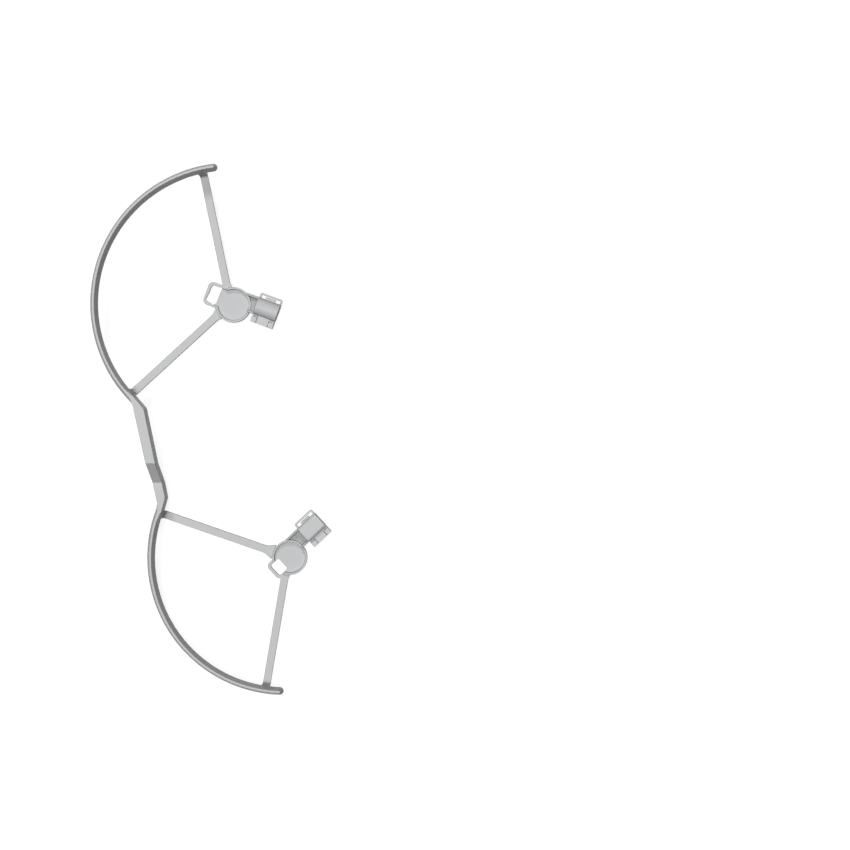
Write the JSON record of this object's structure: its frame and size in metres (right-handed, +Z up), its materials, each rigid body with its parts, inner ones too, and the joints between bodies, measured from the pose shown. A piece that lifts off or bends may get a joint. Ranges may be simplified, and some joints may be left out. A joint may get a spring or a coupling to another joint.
{
  "type": "drone propeller guard",
  "caption": "Left-hand propeller guard for a small folding camera drone: round-topped rails on flat struts, cups under the motors, a stepped bar and hinged arm clips.",
  "frame": {"origin": "on the front motor's axis, on the floor of the front cup where the motor pod rests", "axes": "+Y is the drone's forward direction and the guard's long way, +X points inboard at the drone's body, +Z is up"},
  "size_m": [0.1423, 0.317, 0.0359],
  "materials": {
    "frame_plastic": "light grey moulded plastic, satin",
    "buckle_plastic": "light grey moulded plastic, satin",
    "pin_steel": "bright drawn steel"
  },
  "bodies": {
    "frame": {"guard_frame": "frame_plastic", "front_hinge_pin": "pin_steel", "rear_hinge_pin": "pin_steel"},
    "front_buckle": {"front_buckle": "buckle_plastic"},
    "rear_buckle": {"rear_buckle": "buckle_plastic"}
  },
  "joints": [
    {"name": "front_buckle_hinge", "type": "hinge", "parent": "frame", "child": "front_buckle", "pos_m": [0.01791, -0.01091, 0.0088], "axis": [0.9367, -0.3502, 0], "range_deg": [0, 100]},
    {"name": "rear_buckle_hinge", "type": "hinge", "parent": "frame", "child": "rear_buckle", "pos_m": [0.05244, -0.13977, -0.0037], "axis": [0.7314, 0.682, 0], "range_deg": [0, 100]}
  ]
}
